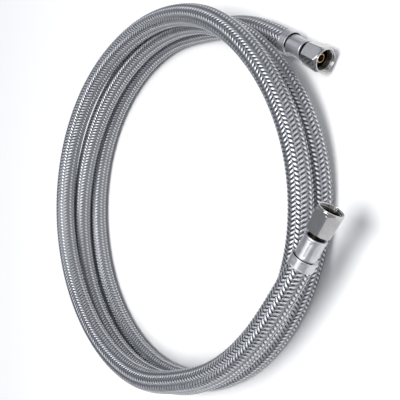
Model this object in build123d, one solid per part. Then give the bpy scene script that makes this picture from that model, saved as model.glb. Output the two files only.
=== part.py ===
"""Braided supply line: a 1.83 m stainless braided hose lying in a loose three-layer coil, a swivel nut each end.

Millimetres, +Z up. The coil lies flat and the origin is at the bottom centre of the whole part's box.
"""
from build123d import *
from math import radians, tan
import os

# Hose
HOSE_D = 12.0
CORE_D = 10.6
CORE_BORE = 6.0
BRAID_WALL_D = HOSE_D - CORE_D

# Coil: three layers of one turn each, stacked on the floor
COIL_R = 99.1
LAYER_RISE = 11.95
LAYER_W = 14.6
LAYER_H = 12.0
LAYER_ROUND = 5.0
LAYER_ARCS = {  # layer: first and last azimuth in degrees, counter-clockwise from +X
    0: (12, 333),
    1: (0, 360),
    2: (-12, 250),
}

# Ferrule, stations along the fitting's axis from the end of the bare braid
BAND_D = 12.2
BAND_BORE = 11.2
BAND_L = 5.0
BAND_ROUND = 0.7
FLATS_AF = 11.9
FLATS_COUNT = 8
FLATS_START = 0.6
FLATS_L = 3.4
FERRULE_D = 10.2
FERRULE_BORE = 9.4
FERRULE_L = 15.4
FERRULE_STEP = 0.2
LIP_D = 10.6
LIP_L = 1.1
END_WALL = 0.5
EDGE = 0.3

# Swivel nut for a 7/16-24 UNS compression thread, drawn at the thread's minor diameter
NECK_GAP = 1.8
NUT_L = 11.6
NUT_AF = 12.0
NUT_DRAFT_DEG = 3.0
NUT_START = FERRULE_L + NECK_GAP
RIM = NUT_START + NUT_L
NUT_BASE_D = 10.1
NUT_BASE_CHAMFER = (1.6, 3.0)  # stations where the base chamfer meets the flats and leaves the corners
NUT_RIM_D = 11.7
NUT_RIM_ROUND = 0.5
NUT_RIM_CHAMFER = 3.0
NECK_HOLE_D = 7.8
NUT_FLOOR = 1.6
NUT_CAVITY_D = 9.6
THREAD_D = 9.97
THREAD_L = 2.7
THREAD_LEAD = 0.3
MOUTH_D = 10.7
MOUTH_L = 0.4

# Brass insert
STEM_START = 0.6
BARB_TIP_D = 5.4
BARB_ROOT_D = 5.3
BARB_PITCH = 3.0
BARB_EDGE = 0.2
BARB_COUNT = 4
COLLAR_START = FERRULE_L - 1.7
COLLAR_END = FERRULE_L - END_WALL
NECK_D = 7.64
FLANGE_GAP = 0.1
FLANGE_START = NUT_START + NUT_FLOOR + FLANGE_GAP
FLANGE_D = 9.3
FLANGE_END = FLANGE_START + 1.4
SEAT_D = 5.4
NOSE_D = 4.8
NOSE_END = RIM - 3.4
WATERWAY_D = 3.6

# Rubber cone washer
WASHER_SKIRT = 0.9
WASHER_L = 2.5
WASHER_TIP_D = 6.8
WASHER_END = FLANGE_END + WASHER_L

# Hose inside the ferrule
SQUEEZE_END = FERRULE_L - 1.8

# Fitting axes: end A points to -Y just above the floor, end B points nearly to +X on the third layer
FLOOR_Z = HOSE_D / 2
END_A_Z = 8.0
END_B_Z = FLOOR_Z + 2 * LAYER_RISE
NUT_A_TURN = 44.0
NUT_B_TURN = 3.7

# Routes of the two tails, from inside the coil to the end of the bare braid.
# Each tail's last run gives its fitting's axis.
TAIL_A = [
    (88.6, 42.0, FLOOR_Z),
    (98.5, 20.0, FLOOR_Z),
    (105.1, -4.0, END_A_Z),
    (105.1, -29.0, END_A_Z),
]
TAIL_B = [
    (-69.0, -72.0, END_B_Z),
    (-47.0, -91.5, END_B_Z),
    (-21.0, -104.2, END_B_Z),
    (8.9, -109.4, END_B_Z),
    (27.6, -110.6, END_B_Z),
]
ARC_SHARE = 0.45


def arc_radii(points):
    """The largest arc that each corner's two runs leave room for."""
    corners = [Vector(*point) for point in points]
    radii = []
    for before, corner, after in zip(corners, corners[1:], corners[2:]):
        run_in = corner - before
        run_out = after - corner
        turn = radians(run_in.get_angle(run_out))
        shorter = min(run_in.length, run_out.length)
        radii.append(ARC_SHARE * shorter / tan(turn / 2))
    return radii


def swept_tube(points, outer_d, bore_d):
    """A tube of straight runs joined by tangent arcs, checked against section times length."""
    radii = arc_radii(points)
    path = FilletPolyline(*points, radius=radii)
    start = Plane(origin=path @ 0, z_dir=path % 0)
    ring = start * (Circle(outer_d / 2) - Circle(bore_d / 2))
    tube = sweep(ring, path=path)
    expected = ring.area * path.length
    print("radii", [round(radius, 1) for radius in radii], "length", round(path.length, 1))
    print("volume over section x length", round(tube.volume / expected, 4))
    return tube


def revolved(outline):
    """A closed outline of (station, diameter) pairs turned about the fitting's axis, local Z."""
    corners = [(diameter / 2, 0, station) for station, diameter in outline]
    profile = make_face(Polyline(*corners, close=True))
    return revolve(profile, axis=Axis.Z)


def sleeve(steps, bore_d):
    """A turned sleeve: outer steps given as (station, diameter), with one straight bore."""
    first = steps[0][0]
    last = steps[-1][0]
    return revolved([(first, bore_d)] + steps + [(last, bore_d)])


def coil_layer(level):
    """One turn's outer shape: a rounded section turned through the arc that the layer covers."""
    first, last = LAYER_ARCS[level]
    centre = Pos(COIL_R, 0, LAYER_H / 2 + level * LAYER_RISE) * Rot(X=90)
    section = centre * RectangleRounded(LAYER_W, LAYER_H, LAYER_ROUND)
    return Rot(Z=first) * revolve(section, axis=Axis.Z, revolution_arc=last - first)


def hose_coil():
    return coil_layer(0) + coil_layer(1) + coil_layer(2)


def squeezed_end(band_d, neck_d, bore_d):
    """The stretch of hose inside the ferrule, held first by the band and then by the narrow crimp."""
    steps = [
        (0, band_d),
        (BAND_L - BAND_ROUND, band_d),
        (BAND_L, neck_d),
        (SQUEEZE_END, neck_d),
    ]
    return sleeve(steps, bore_d)


def core_end():
    return squeezed_end(BAND_BORE - BRAID_WALL_D, FERRULE_BORE - BRAID_WALL_D, CORE_BORE)


def braid_end():
    """The braid's squeezed end, a thin sleeve between the ferrule and the core."""
    return squeezed_end(BAND_BORE, FERRULE_BORE, CORE_BORE) - core_end()


def ferrule():
    """Crimped stainless sleeve: a wide band with eight flats, then a narrow crimp with a rolled lip."""
    body = revolved([
        (0, BAND_BORE),
        (0, BAND_D - EDGE),
        (EDGE, BAND_D),
        (BAND_L - BAND_ROUND, BAND_D),
        (BAND_L, BAND_D - 2 * BAND_ROUND),
        (BAND_L + FERRULE_STEP, FERRULE_D),
        (FERRULE_L - LIP_L, FERRULE_D),
        (FERRULE_L - LIP_L, LIP_D),
        (FERRULE_L - EDGE, LIP_D),
        (FERRULE_L, LIP_D - 2 * EDGE),
        (FERRULE_L, NECK_D),
        (COLLAR_END, NECK_D),
        (COLLAR_END, FERRULE_BORE),
        (BAND_L, FERRULE_BORE),
        (BAND_L - BAND_ROUND, BAND_BORE),
    ])
    at_flats = Pos(0, 0, FLATS_START)
    octagon = RegularPolygon(FLATS_AF / 2, FLATS_COUNT, major_radius=False)
    around = Circle(BAND_D) - octagon
    return body - at_flats * extrude(around, FLATS_L)


def insert():
    """Brass insert: barbed stem in the core, collar and neck, flange in the nut, seat and nose."""
    stem = [(STEM_START, WATERWAY_D), (STEM_START, BARB_TIP_D)]
    for index in range(BARB_COUNT):
        barb_end = STEM_START + (index + 1) * BARB_PITCH
        stem.append((barb_end - BARB_EDGE, CORE_BORE))
        stem.append((barb_end, BARB_ROOT_D))
    return revolved(stem + [
        (COLLAR_START, BARB_ROOT_D),
        (COLLAR_START, FERRULE_BORE),
        (COLLAR_END, FERRULE_BORE),
        (COLLAR_END, NECK_D),
        (FLANGE_START, NECK_D),
        (FLANGE_START, FLANGE_D),
        (FLANGE_END, FLANGE_D),
        (FLANGE_END, SEAT_D),
        (WASHER_END, SEAT_D),
        (WASHER_END + EDGE, NOSE_D),
        (NOSE_END - EDGE, NOSE_D),
        (NOSE_END, NOSE_D - 2 * EDGE),
        (NOSE_END, WATERWAY_D),
    ])


def cone_washer():
    """Rubber cone washer on the insert's seat, against the flange."""
    return revolved([
        (FLANGE_END, SEAT_D),
        (FLANGE_END, FLANGE_D),
        (FLANGE_END + WASHER_SKIRT, FLANGE_D),
        (WASHER_END, WASHER_TIP_D),
        (WASHER_END, SEAT_D),
    ])


def nut_envelope():
    """The turned outside that chamfers the hexagon's corners at the base and rounds them at the rim."""
    meets_flats, leaves_corners = NUT_BASE_CHAMFER
    return revolved([
        (NUT_START, 0),
        (NUT_START, NUT_BASE_D),
        (NUT_START + meets_flats, NUT_AF + 1),
        (NUT_START + leaves_corners, 2 * NUT_AF),
        (RIM - NUT_RIM_CHAMFER, 2 * NUT_AF),
        (RIM - NUT_RIM_ROUND, NUT_RIM_D + 2 * EDGE),
        (RIM, NUT_RIM_D),
        (RIM, 0),
    ])


def nut_hollow():
    """Neck hole through the floor, cavity for flange and washer, then the threaded mouth."""
    thread_start = RIM - MOUTH_L - THREAD_L
    return revolved([
        (NUT_START, 0),
        (NUT_START, NECK_HOLE_D),
        (NUT_START + NUT_FLOOR, NECK_HOLE_D),
        (NUT_START + NUT_FLOOR, NUT_CAVITY_D),
        (thread_start - THREAD_LEAD, NUT_CAVITY_D),
        (thread_start, THREAD_D),
        (RIM - MOUTH_L, THREAD_D),
        (RIM, MOUTH_D),
        (RIM, 0),
    ])


def nut(turn_deg):
    """Swivel nut: a drafted hexagon, widest at its rim, with a turned outside and a hollow."""
    at_rim = Pos(0, 0, RIM) * Rot(Z=turn_deg)
    hexagon = at_rim * RegularPolygon(NUT_AF / 2, 6, major_radius=False)
    blank = extrude(hexagon, NUT_L, dir=(0, 0, -1), taper=NUT_DRAFT_DEG)
    return (blank & nut_envelope()) - nut_hollow()


def end_parts(name, tail, turn_deg):
    """Every piece of one end, placed on the line that the tail's last run points along."""
    mouth = Vector(*tail[-1])
    forward = mouth - Vector(*tail[-2])
    across = Vector(0, 0, 1).cross(forward)
    place = Plane(origin=mouth, x_dir=across, z_dir=forward).location
    return {
        f"braid_tail_{name}": swept_tube(tail, HOSE_D, CORE_D) + place * braid_end(),
        f"core_tail_{name}": swept_tube(tail, CORE_D, CORE_BORE) + place * core_end(),
        f"ferrule_{name}": place * ferrule(),
        f"insert_{name}": place * insert(),
        f"cone_washer_{name}": place * cone_washer(),
        f"nut_{name}": place * nut(turn_deg),
    }


def build():
    parts = {"hose_coil": hose_coil()}
    parts |= end_parts("a", TAIL_A, NUT_A_TURN)
    parts |= end_parts("b", TAIL_B, NUT_B_TURN)
    return parts


def bottom_centre(parts):
    box = Compound(list(parts.values())).bounding_box()
    centre = box.center()
    return Vector(centre.X, centre.Y, box.min.Z)


nodes = build()
origin = bottom_centre(nodes)
print("coil axis in the part's frame", round(-origin.X, 4), round(-origin.Y, 4), round(-origin.Z, 4))
os.makedirs("parts", exist_ok=True)
for node, shape in nodes.items():
    export_step(Pos(-origin.X, -origin.Y, -origin.Z) * shape, f"parts/{node}.step")
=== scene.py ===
"""Looks of the braided supply line: woven stainless hose, crimped ferrules, brass inserts and swivel nuts."""
from math import cos, exp, pi, radians, sin, tan

import bpy
import numpy as np
from mathutils import Matrix, Vector


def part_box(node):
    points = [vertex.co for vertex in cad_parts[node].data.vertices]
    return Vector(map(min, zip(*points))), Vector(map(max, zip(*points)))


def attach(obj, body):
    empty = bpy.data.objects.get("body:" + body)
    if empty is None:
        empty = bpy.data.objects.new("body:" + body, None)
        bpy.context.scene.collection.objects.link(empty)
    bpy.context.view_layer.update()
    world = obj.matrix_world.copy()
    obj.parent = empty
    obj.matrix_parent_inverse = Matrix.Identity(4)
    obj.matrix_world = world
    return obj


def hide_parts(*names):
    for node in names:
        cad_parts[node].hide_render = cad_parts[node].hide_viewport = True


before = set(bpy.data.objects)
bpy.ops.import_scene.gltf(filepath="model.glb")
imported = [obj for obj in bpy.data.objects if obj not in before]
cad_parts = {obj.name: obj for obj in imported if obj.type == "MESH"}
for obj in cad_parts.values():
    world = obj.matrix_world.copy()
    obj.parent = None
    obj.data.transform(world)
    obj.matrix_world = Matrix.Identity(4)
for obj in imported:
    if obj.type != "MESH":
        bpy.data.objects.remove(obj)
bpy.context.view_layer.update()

MM = 0.001

# Coil axis, from the coil's own box in the frame
coil_low, coil_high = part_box("hose_coil")
AXIS = Vector(((coil_low[0] + coil_high[0]) / 2, (coil_low[1] + coil_high[1]) / 2, 0))

# Hose
HOSE_D = 0.012
CORE_R = 0.00505
CORE_BEVEL_STEPS = 6
CURVE_STEPS = 16
FLOOR_Z = HOSE_D / 2
LAYER_RISE = 0.01195
END_A_Z = 0.0080
END_B_Z = FLOOR_Z + 2 * LAYER_RISE

# Routes of the two tails round the coil axis, from inside the coil to the end of the bare braid
TAIL_A = [
    (0.0883, 0.0420, FLOOR_Z),
    (0.0980, 0.0200, FLOOR_Z),
    (0.1043, -0.0020, END_A_Z),
    (0.1051, -0.0200, END_A_Z),
    (0.1051, -0.0290, END_A_Z),
]
TAIL_B = [
    (-0.0690, -0.0720, END_B_Z),
    (-0.0470, -0.0922, END_B_Z),
    (-0.0210, -0.1044, END_B_Z),
    (0.0089, -0.1094, END_B_Z),
    (0.0276, -0.1106, END_B_Z),
]

# Coil between the tails, in degrees of winding counted from the azimuth of the coil's +X
COIL_FIRST = 40.0
COIL_LAST = 931.0
COIL_STEP = 15.0
CLIMB_START = 288.0
TURN_BLEND = 30.0
FULL_TURN = 360
# Where the second turn leans out, in degrees of winding, and how far
BULGE = {"middle": 633.0, "width": 20.0, "height": 0.0036}
# Each loose turn: its mean radius, then its middle's shift, how far it is oval, and how far three-cornered
TURNS = (
    (0.0991, ((0.0002, -0.0016), (-0.0001, 0.0008), (-0.0001, -0.0006))),
    (0.0989, ((-0.0010, -0.0013), (0.0014, 0.0002), (0.0002, -0.0004))),
    (0.1002, ((0.0021, -0.0012), (-0.0007, -0.0003), (0.0004, -0.0010))),
)

# Camera, aimed at a point in the coil and rolled onto its side
CAMERA_TARGET = Vector((0.01304, -0.02478, 0.018))
CAMERA_OFFSET = Vector((0.115419, -0.236646, 0.218589))
CAMERA_ROLL = radians(-85.426)
CAMERA_LENS = 57.82


def smooth(x):
    """0 below 0, 1 above 1, and an easy slope between."""
    x = np.clip(x, 0, 1)
    return x * x * (3 - 2 * x)


def rising(x, start, run):
    """An easy rise from 0 to 1 that begins at start."""
    return smooth((x - start) / run)


def falling(x, end, run):
    """An easy fall from 1 to 0 that is over at end."""
    return smooth((end - x) / run)


def rows(*runs):
    """Stations of a grid's rows in one column. Each run is its first and last station and their number."""
    return np.concatenate([np.linspace(*run) for run in runs])[:, None]


def all_round(columns):
    """Angles of a grid's columns in one row, once round."""
    return np.linspace(0, 2 * pi, columns, endpoint=False)[None, :]


# ---------------------------------------------------------------- camera and hose line

def make_camera():
    data = bpy.data.cameras.new("camera")
    data.lens = CAMERA_LENS
    camera = bpy.data.objects.new("camera", data)
    bpy.context.collection.objects.link(camera)
    camera.location = AXIS + CAMERA_TARGET + CAMERA_OFFSET
    level = (-CAMERA_OFFSET).to_track_quat("-Z", "Y").to_matrix()
    camera.rotation_mode = "QUATERNION"
    camera.rotation_quaternion = (level @ Matrix.Rotation(CAMERA_ROLL, 3, "Z")).to_quaternion()
    bpy.context.scene.camera = camera


def turn_radius(winding):
    """Distance of the hose's middle from the coil's axis, eased from one loose turn to the next."""
    angle = radians(winding)
    radius = 0.0
    second = smooth((winding - FULL_TURN + TURN_BLEND) / (2 * TURN_BLEND))
    third = smooth((winding - 2 * FULL_TURN + TURN_BLEND) / (2 * TURN_BLEND))
    shares = (1 - second, second * (1 - third), third)
    for share, (own, shape) in zip(shares, TURNS):
        for lobes, (along, across) in enumerate(shape, start=1):
            own += along * cos(lobes * angle) + across * sin(lobes * angle)
        radius += share * own
    lean = exp(-(((winding - BULGE["middle"]) / BULGE["width"]) ** 2))
    return radius + BULGE["height"] * lean


def layer_height(winding):
    """The hose climbs onto the turn below at the end of each of its first two turns."""
    layer, within = divmod(winding, FULL_TURN)
    if layer >= 2:
        return END_B_Z
    climb = rising(within, CLIMB_START, FULL_TURN - CLIMB_START)
    return FLOOR_Z + (layer + climb) * LAYER_RISE


def coil_points():
    """Control points of the turns. The curve runs inside their corners, so they stand out by that much."""
    count = round((COIL_LAST - COIL_FIRST) / COIL_STEP) + 1
    stand_out = 1 / cos(radians(COIL_STEP) / 2)
    points = []
    for winding in np.linspace(COIL_FIRST, COIL_LAST, count):
        radius = turn_radius(winding) * stand_out
        angle = radians(winding)
        points.append((radius * cos(angle), radius * sin(angle), layer_height(winding)))
    return points


def hose_route():
    """The whole hose from end A to end B, in the frame."""
    points = TAIL_A[::-1] + coil_points() + TAIL_B
    return [AXIS + Vector(point) for point in points]


def nurbs_line(name, points):
    data = bpy.data.curves.new(name, "CURVE")
    data.dimensions = "3D"
    data.resolution_u = CURVE_STEPS
    spline = data.splines.new("NURBS")
    spline.points.add(len(points) - 1)
    for control, point in zip(spline.points, points):
        control.co = (*point, 1)
    spline.order_u = 3
    spline.use_endpoint_u = True
    line = bpy.data.objects.new(name, data)
    bpy.context.collection.objects.link(line)
    return line


class HoseLine:
    """The hose's centre line with a frame that doesn't twist, read from the route's own curve."""

    EXTRA = 0.006  # how far it runs on straight into each fitting
    STEP = 0.0005  # between its samples

    def __init__(self, line):
        raw = self.run_on(read_line(line))
        steps = np.linalg.norm(np.diff(raw, axis=0), axis=1)
        station = np.concatenate([[0], np.cumsum(steps)])
        self.station = np.arange(0, station[-1], self.STEP)
        self.point = np.stack([np.interp(self.station, station, raw[:, axis]) for axis in range(3)], axis=1)
        tangent = np.gradient(self.point, axis=0)
        self.tangent = tangent / np.linalg.norm(tangent, axis=1)[:, None]
        self.normal = self.carried_normals()
        self.station = self.station - self.EXTRA
        self.length = station[-1] - 2 * self.EXTRA

    def run_on(self, raw):
        """The line with one more point at each end, straight on."""
        before = raw[0] - raw[1]
        after = raw[-1] - raw[-2]
        first = raw[0] + before / np.linalg.norm(before) * self.EXTRA
        last = raw[-1] + after / np.linalg.norm(after) * self.EXTRA
        return np.vstack([first, raw, last])

    def carried_normals(self):
        """A direction across the line at each sample, carried along from the one before."""
        normals = np.empty_like(self.tangent)
        normal = np.array([0.0, 0.0, 1.0])
        for index, tangent in enumerate(self.tangent):
            normal = normal - tangent * normal.dot(tangent)
            normal /= np.linalg.norm(normal)
            normals[index] = normal
        return normals

    def place(self, station, angle, radius):
        """Points at that station along the hose, angle round it and radius from its middle."""
        at = [np.interp(station, self.station, self.point[:, axis]) for axis in range(3)]
        up = [np.interp(station, self.station, self.normal[:, axis]) for axis in range(3)]
        ahead = [np.interp(station, self.station, self.tangent[:, axis]) for axis in range(3)]
        at, up, ahead = (np.stack(part, axis=-1) for part in (at, up, ahead))
        side = np.cross(ahead, up)
        out = up * np.cos(angle)[..., None] + side * np.sin(angle)[..., None]
        return at + out * radius[..., None]


def read_line(line):
    """The points of a curve that has no bevel."""
    graph = bpy.context.evaluated_depsgraph_get()
    mesh = bpy.data.meshes.new_from_object(line.evaluated_get(graph))
    points = np.empty(len(mesh.vertices) * 3)
    mesh.vertices.foreach_get("co", points)
    bpy.data.meshes.remove(mesh)
    return points.reshape(-1, 3)


# ---------------------------------------------------------------- materials

# Colours. A pair is the two ends of an uneven tone.
WIRE = (0.78, 0.80, 0.83), (0.89, 0.91, 0.94)
# Painted shade for the wire where a ribbon dips under the crossing ones
WIRE_DIP_SHADE = (0.31, 0.318, 0.338, 1)
POLYMER = (0.018, 0.018, 0.022), (0.035, 0.035, 0.040)
NICKEL = (0.48, 0.475, 0.475), (0.55, 0.545, 0.54)
# Painted shade for the threads deep inside the nut
THREAD_SHADE = (0.03, 0.026, 0.022), (0.09, 0.075, 0.06)
STEEL = (0.54, 0.54, 0.565), (0.66, 0.66, 0.685)
# Painted shade for the ferrule's groove
GROOVE_SHADE = (0.02, 0.02, 0.025, 1)
BRASS = (0.62, 0.42, 0.20), (0.82, 0.64, 0.38)
# Painted shade for the brass neck in the gap under the nut
NECK_SHADE = (0.010, 0.009, 0.008), (0.028, 0.024, 0.020)
RUBBER = (0.012, 0.012, 0.012), (0.030, 0.030, 0.030)

# Fine surface, in metres
WIRE_HALF_WAVES = 3.25  # from a ribbon's middle to its edge, one for each wire
WIRE_DEPTH = 0.00004
GRAIN_DEPTH = 0.00001

# Where a ribbon counts as dipping, in full painted shade, and as on top, free of it, as shares of its full
# height
DIPPING, ON_TOP = 0.60, 1.04

# Where the brass turns from the painted shade on the neck to the unshaded nose, in metres along the fitting
NECK_ENDS, NOSE_STARTS = 0.0190, 0.0215


class Nodes:
    """A short way to write a material's nodes."""

    def __init__(self, name):
        self.material = bpy.data.materials.new(name)
        self.material.use_nodes = True
        self.tree = self.material.node_tree
        self.shader = self.tree.nodes["Principled BSDF"]

    def add(self, kind, inputs=None, **settings):
        node = self.tree.nodes.new("ShaderNode" + kind)
        for key, value in settings.items():
            setattr(node, key, value)
        for key, value in (inputs or {}).items():
            self.put(node.inputs[key], value)
        return node

    def put(self, socket, value):
        if isinstance(value, bpy.types.NodeSocket):
            self.tree.links.new(value, socket)
        else:
            socket.default_value = value

    def math(self, operation, first, second=0.0):
        return self.add("Math", {0: first, 1: second}, operation=operation).outputs[0]

    def coordinates(self):
        return self.add("TexCoord").outputs["Object"]

    def noise(self, scale, detail=3.0):
        inputs = {"Scale": scale, "Detail": detail, "Vector": self.coordinates()}
        return self.add("TexNoise", inputs).outputs["Fac"]

    def attribute(self, name):
        return self.add("Attribute", attribute_name=name).outputs["Fac"]

    def spread(self, value, low, high, start=0.3, end=0.7):
        inputs = {"Value": value, "From Min": start, "From Max": end, "To Min": low, "To Max": high}
        return self.add("MapRange", inputs).outputs[0]

    def blend(self, share, first, second):
        return self.add("Mix", {"Factor": share, 6: first, 7: second}, data_type="RGBA").outputs[2]

    def tone(self, share, pair):
        return self.blend(share, *((*colour, 1) for colour in pair))

    def bump(self, height, distance, strength):
        inputs = {"Height": height, "Distance": distance, "Strength": strength}
        return self.add("Bump", inputs).outputs["Normal"]

    def grain(self, scale, strength, detail=2.0):
        return self.bump(self.noise(scale, detail), GRAIN_DEPTH, strength)

    def set(self, values):
        for key, value in values.items():
            self.put(self.shader.inputs[key], value)
        return self.material


def braid_material():
    """Bright stainless wire, six or seven wires side by side in each ribbon, a little uneven, with painted
    shade where the ribbons dip.
    """
    n = Nodes("woven_stainless")
    wires = n.math("ABSOLUTE", n.math("SINE", n.math("MULTIPLY", n.attribute("across"), WIRE_HALF_WAVES * pi)))
    # Painted shade: the wire darkens as a ribbon dips under the crossing ones.
    on_top = n.spread(n.attribute("lift"), 0.0, 1.0, DIPPING, ON_TOP)
    unshaded = n.tone(n.spread(n.noise(160.0, 2.0), 0.0, 1.0), WIRE)
    return n.set({
        "Base Color": n.blend(on_top, WIRE_DIP_SHADE, unshaded),
        "Metallic": 1.0,
        "Roughness": n.spread(n.noise(420.0, 2.0), 0.40, 0.50),
        "Normal": n.bump(wires, WIRE_DEPTH, 0.4),
    })


def core_material():
    """Dark polymer tube, seen only between the ribbons."""
    n = Nodes("hose_core")
    return n.set({
        "Base Color": n.tone(n.noise(300.0), POLYMER),
        "Roughness": n.spread(n.noise(500.0), 0.5, 0.7),
    })


def nickel_material():
    """Bright nickel plate over turned brass with faint handling marks, and painted shade on the threads, darker
    deeper inside.
    """
    n = Nodes("nickel_plate")
    plate = n.tone(n.spread(n.noise(120.0, 4.0), 0.0, 1.0), NICKEL)
    # Painted shade: past the mouth the inside turns dark, deeper in darker.
    threads = n.tone(n.noise(500.0, 3.0), THREAD_SHADE)
    return n.set({
        "Base Color": n.blend(n.attribute("inside"), plate, threads),
        "Metallic": 1.0,
        "Roughness": n.spread(n.noise(350.0, 4.0), 0.13, 0.24),
        "Normal": n.grain(2600.0, 0.25),
    })


def ferrule_material():
    """Satin stainless sleeve, with painted shade in the groove and on the sleeve just past it."""
    n = Nodes("ferrule_steel")
    unshaded = n.tone(n.spread(n.noise(200.0, 4.0), 0.0, 1.0), STEEL)
    # The groove's point values darken the steel there: painted shade, not dirt.
    return n.set({
        "Base Color": n.blend(n.attribute("groove_shade"), unshaded, GROOVE_SHADE),
        "Metallic": 1.0,
        "Roughness": n.spread(n.noise(600.0, 3.0), 0.38, 0.50),
        "Normal": n.grain(3200.0, 0.4),
    })


def brass_material(fitting):
    """Turned brass at the nose, and painted shade on the neck that the nut turns on."""
    n = Nodes(f"turned_brass_{fitting.name}")
    from_mouth = n.add("VectorMath", {0: n.coordinates(), 1: tuple(fitting.mouth)}, operation="SUBTRACT")
    inputs = {0: from_mouth.outputs[0], 1: tuple(fitting.forward)}
    along = n.add("VectorMath", inputs, operation="DOT_PRODUCT").outputs["Value"]
    at_nose = n.spread(along, 0.0, 1.0, NECK_ENDS, NOSE_STARTS)
    unshaded = n.tone(n.spread(n.noise(260.0, 4.0), 0.0, 1.0), BRASS)
    # Painted shade: the neck in the gap under the nut is darkened.
    neck = n.tone(n.noise(400.0, 3.0), NECK_SHADE)
    return n.set({
        "Base Color": n.blend(at_nose, neck, unshaded),
        "Metallic": 1.0,
        "Roughness": n.spread(n.noise(700.0, 3.0), 0.24, 0.42),
        "Normal": n.grain(2800.0, 0.4),
    })


def rubber_material():
    """Matt black rubber."""
    n = Nodes("seal_rubber")
    return n.set({
        "Base Color": n.tone(n.noise(500.0), RUBBER),
        "Roughness": n.spread(n.noise(900.0), 0.55, 0.8),
        "Normal": n.grain(4000.0, 0.5, detail=3.0),
    })


# ---------------------------------------------------------------- meshes

def new_mesh(name, points, face_sets, material):
    """A smooth mesh object. Each set of faces is an array with one row of corners per face."""
    corners = np.concatenate([faces.ravel() for faces in face_sets])
    totals = np.concatenate([np.full(len(faces), faces.shape[1]) for faces in face_sets])
    starts = np.concatenate([[0], np.cumsum(totals)[:-1]])
    mesh = bpy.data.meshes.new(name)
    mesh.vertices.add(len(points))
    mesh.vertices.foreach_set("co", points.astype(np.float32).ravel())
    mesh.loops.add(len(corners))
    mesh.loops.foreach_set("vertex_index", corners.astype(np.int32))
    mesh.polygons.add(len(totals))
    mesh.polygons.foreach_set("loop_start", starts.astype(np.int32))
    mesh.polygons.foreach_set("loop_total", totals.astype(np.int32))
    mesh.update(calc_edges=True)
    mesh.polygons.foreach_set("use_smooth", np.ones(len(totals), dtype=bool))
    mesh.materials.append(material)
    piece = bpy.data.objects.new(name, mesh)
    bpy.context.collection.objects.link(piece)
    return piece


def point_values(piece, name, values):
    """Give each point of a mesh a number, which its material reads."""
    attribute = piece.data.attributes.new(name, "FLOAT", "POINT")
    attribute.data.foreach_set("value", values.astype(np.float32).ravel())


def grid_faces(count, columns, closed=False):
    """Quads of a grid of rows that closes round in its columns, and from its last row to its first if asked."""
    row = np.arange(count if closed else count - 1)[:, None]
    column = np.arange(columns)[None, :]
    next_row = (row + 1) % count
    next_column = (column + 1) % columns
    corners = [row * columns + column, row * columns + next_column]
    corners += [next_row * columns + next_column, next_row * columns + column]
    return np.stack(np.broadcast_arrays(*corners), axis=-1).reshape(-1, 4)


# ---------------------------------------------------------------- braid

STRANDS = 12  # ribbons of wire each way round
COLUMNS = 12  # places round the hose where one way and then the other is on top
FIRST_COLUMN = radians(7.5)
LAY = 2.10 * HOSE_D  # the hose's length in which a ribbon goes once round
RIBBON_W = 0.00162
RIBBON_TOP = 0.00022
RIBBON_SHOULDER = 0.00014
RIBBON_EDGE = -0.00006
WEAVE = 0.00027  # how far a ribbon rises and dips
PEAKED = 0.14  # how far its crests stand out of a plain wave, as a share of that
MIDDLE_R = HOSE_D / 2 - WEAVE * (1 + PEAKED) - RIBBON_TOP
BRAID_INSIDE = 0.0022  # how far the braid runs on into each ferrule
SQUEEZE = 0.955  # the braid narrows to this share of its radius before each ferrule, over the run below
SQUEEZE_RUN = 0.009
SAMPLES_PER_LAY = 64
STRANDS_PER_PIECE = 4
SECTION = (  # across the ribbon as a share of its width, height over its middle
    (-0.50, RIBBON_EDGE),
    (-0.27, RIBBON_SHOULDER),
    (0.0, RIBBON_TOP),
    (0.27, RIBBON_SHOULDER),
    (0.50, RIBBON_EDGE),
)


def weave_height(angle):
    """Over two and under two: each way of winding is on top along every other column."""
    phase = COLUMNS / 2 * (angle - FIRST_COLUMN)
    return np.cos(phase) + PEAKED * np.cos(3 * phase)


def ribbon(line, index, way):
    """One flat bundle of wires wound along the whole hose. Each point has its share across and its lift."""
    pitch_angle = np.arctan2(2 * pi * MIDDLE_R, LAY)
    count = int((line.length + 2 * BRAID_INSIDE) / LAY * SAMPLES_PER_LAY)
    middle = np.linspace(-BRAID_INSIDE, line.length + BRAID_INSIDE, count)[:, None]
    across = np.array([share for share, height in SECTION])[None, :] * RIBBON_W
    height = np.array([height for share, height in SECTION])[None, :]
    station = middle - way * across * sin(pitch_angle)
    middle_angle = way * 2 * pi * middle / LAY + 2 * pi * index / STRANDS
    angle = middle_angle + across * cos(pitch_angle) / MIDDLE_R
    radius = MIDDLE_R + way * WEAVE * weave_height(middle_angle) + height
    outside = np.maximum(-station, station - line.length)
    radius = radius * (1 - (1 - SQUEEZE) * rising(outside, -SQUEEZE_RUN, SQUEEZE_RUN))
    points = line.place(station, angle, radius + 0 * station)
    shares = np.broadcast_to(across / RIBBON_W * 2, station.shape)
    lift = (way * weave_height(middle_angle) * WEAVE + height) / (WEAVE + RIBBON_TOP)
    return points.reshape(-1, 3), shares.ravel(), lift.ravel(), count


def braid_piece(name, line, indices, way, material):
    """Several ribbons that wind the same way, as one piece."""
    all_points, sides, ends, all_shares, all_lifts = [], [], [], [], []
    start = 0
    columns = len(SECTION)
    for index in indices:
        points, shares, lifts, count = ribbon(line, index, way)
        faces = grid_faces(count, columns)
        caps = np.array([range(columns)[::-1], range((count - 1) * columns, count * columns)])
        if way > 0:
            faces, caps = faces[:, ::-1], caps[:, ::-1]
        all_points.append(points)
        all_shares.append(shares)
        all_lifts.append(lifts)
        sides.append(faces + start)
        ends.append(caps + start)
        start += len(points)
    piece = new_mesh(name, np.vstack(all_points), [np.vstack(sides), np.vstack(ends)], material)
    point_values(piece, "across", np.concatenate(all_shares))
    point_values(piece, "lift", np.concatenate(all_lifts))
    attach(piece, "hose")
    return piece


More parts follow.
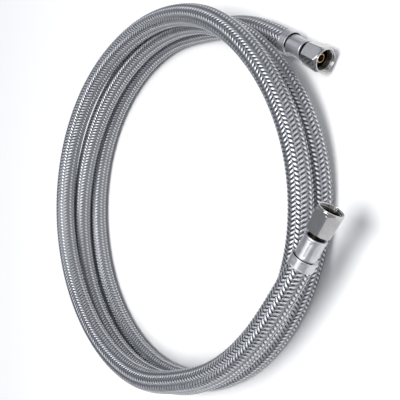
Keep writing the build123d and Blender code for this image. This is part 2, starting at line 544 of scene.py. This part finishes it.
def make_braid(line):
    material = braid_material()
    pieces = []
    groups = STRANDS // STRANDS_PER_PIECE
    for way, word in ((1, "right"), (-1, "left")):
        for group in range(groups):
            indices = range(group, STRANDS, groups)
            pieces.append(braid_piece(f"braid_{word}_{group + 1}", line, indices, way, material))
    return pieces


def make_hose(line_object):
    """The core, whose line is the hose's own. It carries the braid and stands for the plain hose solids."""
    line_object.data.bevel_depth = CORE_R
    line_object.data.bevel_resolution = CORE_BEVEL_STEPS
    line_object.data.use_fill_caps = True
    line_object.data.materials.append(core_material())
    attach(line_object, "hose")
    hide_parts("hose_coil", "core_tail_a", "core_tail_b", "braid_tail_a", "braid_tail_b")


# ---------------------------------------------------------------- fittings

# Stations are in millimetres along a fitting's axis from the end of the bare braid. Radii are in millimetres.
# Tables of rows hold runs of stations, each its first, its last and their number.
# Profiles hold pairs of station and radius.
# A sharpness is an exponent: the higher it is, the crisper the edge.
ROUND_SHARE = 0.98  # how much of a quarter circle a rounded edge takes

# Ferrule: a wide band with flats, a groove, and a narrow sleeve
FERRULE_COLUMNS = 180
BAND_R = 6.1
BAND_END = 5.0
BAND_ROWS = ((0.0, 0.5, 6), (0.6, 4.2, 19), (4.3, 4.85, 8))
BAND_SHARPNESS = 200
BACK_EDGE, BACK_EDGE_FALL = 0.4, 0.25
FLAT_APOTHEM = 5.95
FLAT_COUNT = 8
FLAT_SHARPNESS = 80
FLATS_START, FLATS_END, FLATS_EASE = 0.5, 4.5, 0.4
SLEEVE_R = 5.1
FERRULE_END = 15.4
SLEEVE_ROWS = ((4.6, 14.0, 60), (14.1, FERRULE_END, 24))
CRIMP_COUNT = 9
CRIMP_DEPTH = 0.09
CRIMP_START, CRIMP_END, CRIMP_EASE = 5.6, 13.9, 1.2
LIP_START = 14.3
LIP_R = 5.3
LIP_EASE = 0.3
END_ROUND = 0.5
FERRULE_INSIDE = np.array([
    (FERRULE_END - 0.02, 4.2), (FERRULE_END - 0.3, 3.9), (14.9, 3.9), (14.9, 4.7),
    (4.2, 4.7), (3.6, 5.6), (0.0, 5.62),
])

# Groove between band and sleeve. The sleeve sits off centre, so the groove opens only round one direction,
# in degrees, and is a closed shoulder on the other side. The sleeve's rows start later over the shoulder.
GROOVE_FACES = {"a": 50.0, "b": 108.0}
GROOVE_FADES, GROOVE_EASE = 0.1, 0.5  # in the cosine of the angle from that direction
SHOULDER_SHIFT = 0.08
GROOVE = np.array([
    (4.95, 6.06), (5.0, 5.98), (5.0, 5.84), (4.95, 5.76), (4.85, 5.72),
    (4.4, 5.66), (4.2, 5.6), (4.15, 5.4), (4.2, 5.2), (4.35, 5.1),
])
SHOULDER = np.array([
    (4.95, 6.06), (5.0, 5.98), (5.02, 5.84), (5.03, 5.76), (5.04, 5.70),
    (5.06, 5.60), (5.10, 5.45), (5.15, 5.30), (5.22, 5.18), (5.32, 5.12),
])
UNSHADED_GROOVE_ROWS = 4  # at the band's edge, before the painted shade starts
# How far the painted shade reaches past the band's end onto the sleeve, and how far it fades
GROOVE_SHADE_REACH, GROOVE_SHADE_EASE = 0.35, 0.4

# Nut: a hexagon outside, and a mouth, a thread, a cavity and a neck hole inside
NUT_COLUMNS = 240
NUT_START = 17.2
NUT_RIM = 28.8
NUT_APOTHEM = 6.0
NUT_DRAFT = tan(radians(3))
NUT_SIDES = 6
NUT_TURNS = {"a": 44.0, "b": 3.7}  # how far each nut is turned, in degrees
HALF_SIDE = 180 / NUT_SIDES
NUT_ROWS = (
    (NUT_START, NUT_START + 2.4, 25),
    (NUT_START + 2.6, NUT_RIM - 2.6, 24),
    (NUT_RIM - 2.4, NUT_RIM, 37),
)
HEX_SHARPNESS = 60
EDGE_SHARPNESS = 90
BASE_R = 5.15
BASE_SLOPE = 1.6
BASE_ROUND, BASE_ROUND_FALL = 0.25, 0.2
RIM_R = 5.85
RIM_BAND = 0.9
RIM_SLOPE = 1.15
RIM_ROUND = 0.22
MOUTH_R = 5.25
MOUTH_DEPTH = 0.4
RIM_LAND = np.array([(NUT_RIM, RIM_R - 0.3), (NUT_RIM, MOUTH_R + 0.08)])
THREAD_FIRST = NUT_RIM - 0.04
THREAD_END = 23.2
THREAD_CREST_R = 4.985
THREAD_DEPTH = 0.42  # shallower than a standard 7/16-24 thread, which has about 0.57
THREAD_PITCH = 25.4 / 24
THREAD_STEEPNESS = 1.3
THREAD_CREST_SHARE = 0.1
THREAD_RUN_OUT = 1.5
THREAD_ROWS_PER_TURN = 12
CAVITY_R = 4.8
CAVITY_EASE = 0.5
NUT_FLOOR_END = 18.8
NECK_HOLE_R = 3.9
NUT_BACK = np.array([
    (22.0, CAVITY_R), (NUT_FLOOR_END + 0.1, CAVITY_R), (NUT_FLOOR_END, CAVITY_R - 0.1),
    (NUT_FLOOR_END, NECK_HOLE_R + 0.1), (NUT_FLOOR_END - 0.1, NECK_HOLE_R),
    (NUT_START + 0.15, NECK_HOLE_R), (NUT_START, NECK_HOLE_R + 0.15),
])
UNSHADED_MOUTH, THREAD_SHADE_EASE = 1.0, 1.6  # how far into the mouth the plate stays free of painted shade, and how far the painted shade then fades in


class Fitting:
    """Places points round a fitting's axis, which the tail's last run gives."""

    def __init__(self, name, tail):
        self.name = name
        self.mouth = np.array(AXIS + Vector(tail[-1]))
        forward = (Vector(tail[-1]) - Vector(tail[-2])).normalized()
        across = Vector((0, 0, 1)).cross(forward)
        self.forward, self.across = np.array(forward), np.array(across)
        self.up = np.cross(self.forward, self.across)

    def place(self, station, angle, radius):
        station, angle, radius = np.broadcast_arrays(station, angle, radius)
        out = np.cos(angle)[..., None] * self.across + np.sin(angle)[..., None] * self.up
        return self.mouth + MM * (station[..., None] * self.forward + radius[..., None] * out)


def turned(name, fitting, station, angle, radius, material):
    """A closed ring-shaped piece from a grid of stations and radii that runs out along it and back inside."""
    points = fitting.place(station, angle, radius)
    count, columns = points.shape[:2]
    faces = grid_faces(count, columns, closed=True)
    return new_mesh(name, points.reshape(-1, 3), [faces[:, ::-1]], material)


def least(first, second, sharpness):
    """The smaller of two radii, with a soft edge where they are equal."""
    return (first**-sharpness + second**-sharpness) ** (-1 / sharpness)


def polygon_radius(angle, apothem, sides, sharpness):
    """Radius of a regular polygon with softened corners."""
    total = 0
    for side in range(sides):
        facing = np.cos(angle - 2 * pi * side / sides)
        total = total + np.maximum(facing, 0) ** sharpness
    return apothem * total ** (-1 / sharpness)


def round_fall(share):
    """How far a rounded edge has fallen, from 0 to about 1, at a share of the way over it."""
    return 1 - np.sqrt(1 - ROUND_SHARE * np.clip(share, 0, 1) ** 2)


def ferrule_band(angle, station):
    """Radius of the band, which has its flats between two round edges."""
    flats = least(polygon_radius(angle, FLAT_APOTHEM, FLAT_COUNT, FLAT_SHARPNESS), BAND_R, BAND_SHARPNESS)
    on_flats = rising(station, FLATS_START, FLATS_EASE) * falling(station, FLATS_END, FLATS_EASE)
    band = BAND_R + (flats - BAND_R) * on_flats
    return band - BACK_EDGE_FALL * falling(station, BACK_EDGE, BACK_EDGE) ** 2


def ferrule_sleeve(angle, station):
    """Radius of the sleeve, with its crimp marks, rolled lip and rounded end."""
    crimp = CRIMP_DEPTH * (0.5 + 0.5 * np.cos(CRIMP_COUNT * angle)) ** 3
    crimped = rising(station, CRIMP_START, CRIMP_EASE) * falling(station, CRIMP_END, CRIMP_EASE)
    lip = (LIP_R - SLEEVE_R) * rising(station, LIP_START - LIP_EASE / 2, LIP_EASE)
    end = END_ROUND * round_fall((station - (FERRULE_END - END_ROUND)) / END_ROUND)
    return SLEEVE_R - crimp * crimped + lip - end


def make_ferrule(fitting, material):
    """Crimped ferrule: band, groove, sleeve and, inside, the wall that holds the braid."""
    angle = all_round(FERRULE_COLUMNS)
    on_band = rows(*BAND_ROWS)
    gap = rising(np.cos(angle - radians(GROOVE_FACES[fitting.name])), GROOVE_FADES, GROOVE_EASE)
    groove = SHOULDER[:, :, None] + (GROOVE - SHOULDER)[:, :, None] * gap
    on_sleeve = FERRULE_END - (FERRULE_END - rows(*SLEEVE_ROWS)) * (1 - (1 - gap) * SHOULDER_SHIFT)
    stations = np.vstack([on_band + 0 * angle, groove[:, 0], on_sleeve, FERRULE_INSIDE[:, :1] + 0 * angle])
    radii = np.vstack([
        ferrule_band(angle, on_band),
        groove[:, 1],
        ferrule_sleeve(angle, on_sleeve),
        FERRULE_INSIDE[:, 1:] + 0 * angle,
    ])
    piece = turned(f"crimped_ferrule_{fitting.name}", fitting, stations, angle, radii, material)
    # Painted shade: the open side of the groove, and the sleeve just past the band, are darkened.
    row = np.arange(len(stations))[:, None]
    groove_start, groove_end = len(on_band), len(on_band) + len(GROOVE)
    in_groove = (row >= groove_start + UNSHADED_GROOVE_ROWS) & (row <= groove_end)
    past_groove = (row > groove_end) * falling(stations, BAND_END + GROOVE_SHADE_REACH, GROOVE_SHADE_EASE)
    point_values(piece, "groove_shade", gap * np.maximum(in_groove, past_groove))
    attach(piece, "hose")
    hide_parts(f"ferrule_{fitting.name}")


def nut_outside(angle, station, turn):
    """Drafted hexagon, chamfered at its base and turned down to a round rim."""
    apothem = NUT_APOTHEM - (NUT_RIM - station) * NUT_DRAFT
    hexagon = polygon_radius(angle - turn, apothem, NUT_SIDES, HEX_SHARPNESS)
    base = BASE_R + BASE_SLOPE * (station - NUT_START)
    rim = RIM_R + RIM_SLOPE * np.maximum(NUT_RIM - RIM_BAND - station, 0)
    radius = least(least(hexagon, base, EDGE_SHARPNESS), rim, EDGE_SHARPNESS)
    base_fall = BASE_ROUND_FALL * round_fall((NUT_START + BASE_ROUND - station) / BASE_ROUND)
    rim_fall = RIM_ROUND * round_fall((station - NUT_RIM + RIM_ROUND) / RIM_ROUND)
    return radius - rim_fall - base_fall


def nut_thread(angle, station):
    """Radius of the inside thread, which runs out towards the cavity."""
    phase = 2 * pi * station / THREAD_PITCH - angle
    groove = np.clip(THREAD_STEEPNESS * (0.5 - 0.5 * np.cos(phase)) - THREAD_CREST_SHARE, 0, 1)
    run_out = rising(station, THREAD_END, THREAD_RUN_OUT)
    in_cavity = falling(station, THREAD_END + CAVITY_EASE, CAVITY_EASE)
    wall = THREAD_CREST_R - (THREAD_CREST_R - CAVITY_R) * in_cavity
    thread = wall + THREAD_DEPTH * groove * run_out
    at_rim = np.clip(1 - (NUT_RIM - station) / MOUTH_DEPTH, 0, 1)
    mouth = THREAD_CREST_R + (MOUTH_R - THREAD_CREST_R) * at_rim
    return np.maximum(thread, mouth)


def make_nut(fitting, material):
    """Swivel nut: hexagon outside, helical thread inside, and the hole that holds it on the insert's neck."""
    angle = all_round(NUT_COLUMNS)
    turn = radians(NUT_TURNS[fitting.name] + HALF_SIDE)
    on_outside = rows(*NUT_ROWS)
    thread_rows = int((NUT_RIM - THREAD_END) / THREAD_PITCH * THREAD_ROWS_PER_TURN)
    on_thread = rows((THREAD_FIRST, THREAD_END, thread_rows))
    stations = np.vstack([on_outside, RIM_LAND[:, :1], on_thread, NUT_BACK[:, :1]])
    radii = np.vstack([
        nut_outside(angle, on_outside, turn),
        RIM_LAND[:, 1:] + 0 * angle,
        nut_thread(angle, on_thread),
        NUT_BACK[:, 1:] + 0 * angle,
    ])
    piece = turned(f"hex_nut_{fitting.name}", fitting, stations, angle, radii, material)
    past_land = np.arange(len(stations))[:, None] >= len(on_outside) + len(RIM_LAND)
    # Painted shade on the inside, from just past the mouth to the back of the nut
    point_values(piece, "inside", falling(stations, NUT_RIM - UNSHADED_MOUTH, THREAD_SHADE_EASE) * past_land + 0 * angle)
    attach(piece, f"swivel_{fitting.name}")
    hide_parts(f"nut_{fitting.name}")


# ---------------------------------------------------------------- stage

FLOOR_SIZE = 6
FLOOR_TONE = (0.93, 0.93, 0.93), (0.93 * 0.97, 0.93 * 0.97, 0.93 * 0.97)
FLOOR_ROUGHNESS = 0.7
LIGHTS_AIM = Vector((0, 0, 0.02))
SKY = (0.80, 0.82, 0.90, 1)
SKY_STRENGTH = 0.36
WHITE = (1.0, 1.0, 1.0)
SOFTBOXES = (  # name, place, width and height, watts, colour
    ("overhead", (0.1, -0.25, 1.3), (0.6, 0.6), 16, WHITE),
    ("fill", AXIS + 2.0 * CAMERA_OFFSET.normalized(), (1.6, 1.6), 6.5, WHITE),
    ("front", (-0.5, -1.4, 0.28), (0.8, 0.4), 0.35, (1.0, 0.97, 0.88)),
    ("back", (0.35, 1.0, 1.05), (0.7, 0.7), 0.8, (0.90, 0.94, 1.0)),
)


def make_floor():
    bpy.ops.mesh.primitive_plane_add(size=FLOOR_SIZE)
    floor = bpy.context.object
    floor.name = "floor"
    n = Nodes("floor")
    floor.data.materials.append(n.set({
        "Base Color": n.tone(n.noise(3.0), FLOOR_TONE),
        "Roughness": FLOOR_ROUGHNESS,
    }))


def make_lights():
    for name, place, size, power, colour in SOFTBOXES:
        data = bpy.data.lights.new(name, "AREA")
        data.shape = "RECTANGLE"
        data.size, data.size_y = size
        data.energy = power
        data.color = colour
        light = bpy.data.objects.new(name, data)
        bpy.context.collection.objects.link(light)
        light.location = place
        light.rotation_euler = (LIGHTS_AIM - light.location).to_track_quat("-Z", "Y").to_euler()
    world = bpy.data.worlds.new("studio")
    world.use_nodes = True
    background = world.node_tree.nodes["Background"]
    background.inputs["Color"].default_value = SKY
    background.inputs["Strength"].default_value = SKY_STRENGTH
    bpy.context.scene.world = world


# ---------------------------------------------------------------- build

def repaint(name, material):
    """Give a carried-over CAD node a material."""
    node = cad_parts[name]
    node.data.materials.clear()
    node.data.materials.append(material)
    for slot in node.material_slots:
        slot.link = "OBJECT"
        slot.material = material


make_camera()
hose = nurbs_line("hose", hose_route())
line = HoseLine(hose)
braid = make_braid(line)
make_hose(hose)
nickel, steel, rubber = nickel_material(), ferrule_material(), rubber_material()
for end, tail in (("a", TAIL_A), ("b", TAIL_B)):
    fitting = Fitting(end, tail)
    make_ferrule(fitting, steel)
    make_nut(fitting, nickel)
    repaint(f"insert_{end}", brass_material(fitting))
    repaint(f"cone_washer_{end}", rubber)
make_floor()
make_lights()
bpy.context.scene.view_settings.view_transform = "Standard"
